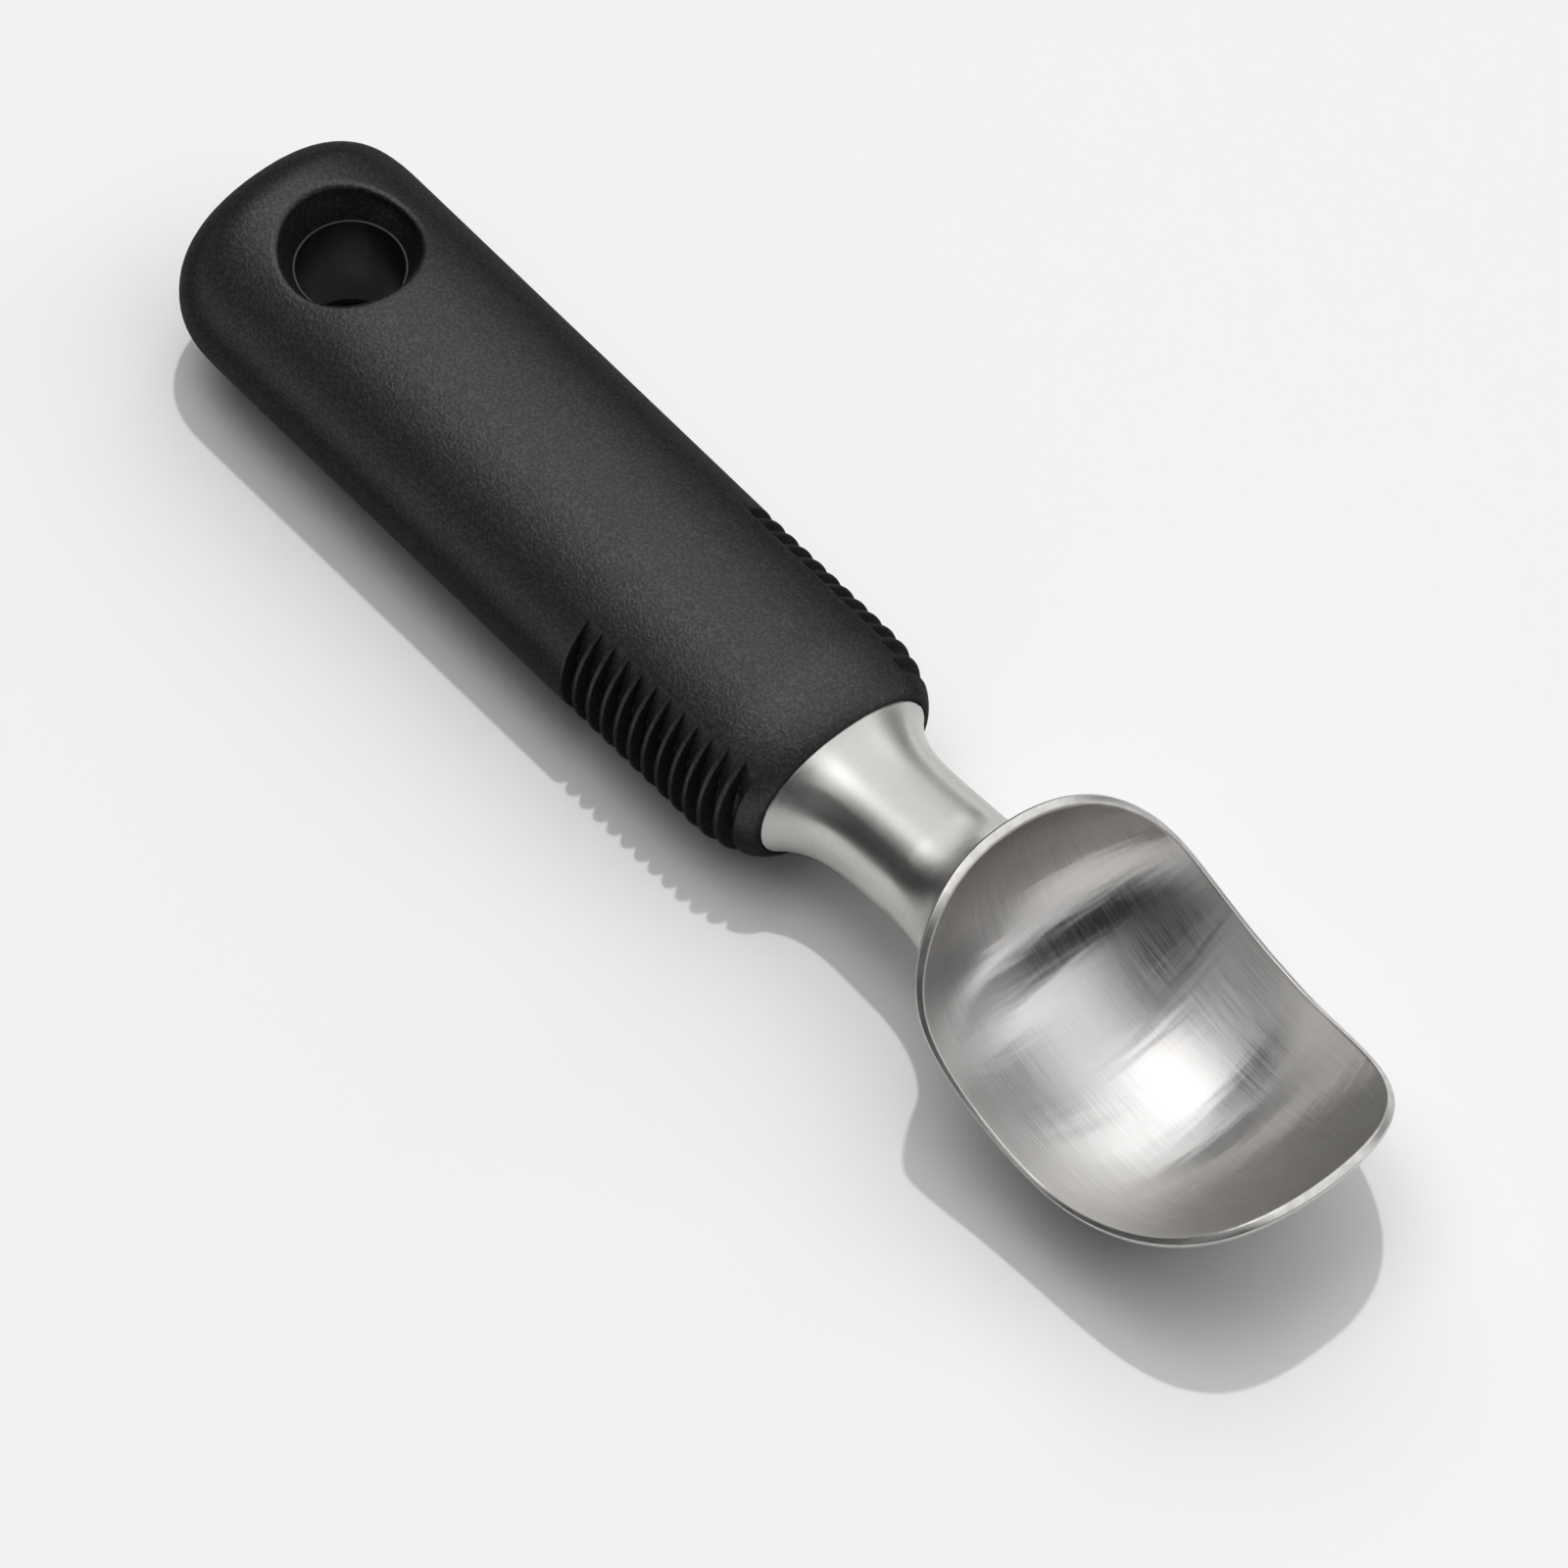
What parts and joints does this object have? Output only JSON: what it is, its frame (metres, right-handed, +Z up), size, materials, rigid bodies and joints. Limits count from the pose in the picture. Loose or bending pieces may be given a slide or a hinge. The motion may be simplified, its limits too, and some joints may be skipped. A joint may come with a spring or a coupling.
{
  "type": "ice cream scoop",
  "caption": "Solid scoop with a brushed steel bowl and neck in a soft black oval grip with finger fins and a hanging hole.",
  "frame": {"origin": "on the surface the scoop lies on, halfway along it and on its middle plane", "axes": "+X from the heel of the grip to the tip of the bowl, +Z up out of the open bowl, +Y to the left"},
  "size_m": [0.2082, 0.0452, 0.036],
  "materials": {
    "brushed_steel": "satin, brushed along the bowl, with a polished rim",
    "core_plastic": "gloss, near black",
    "grip_rubber": "soft matte, fine grain",
    "pin_steel": "plain ground"
  },
  "bodies": {
    "root": {"scoop_head": "brushed_steel", "handle_core": "core_plastic", "grip_sleeve": "grip_rubber", "tang_pins": "pin_steel"}
  },
  "joints": []
}
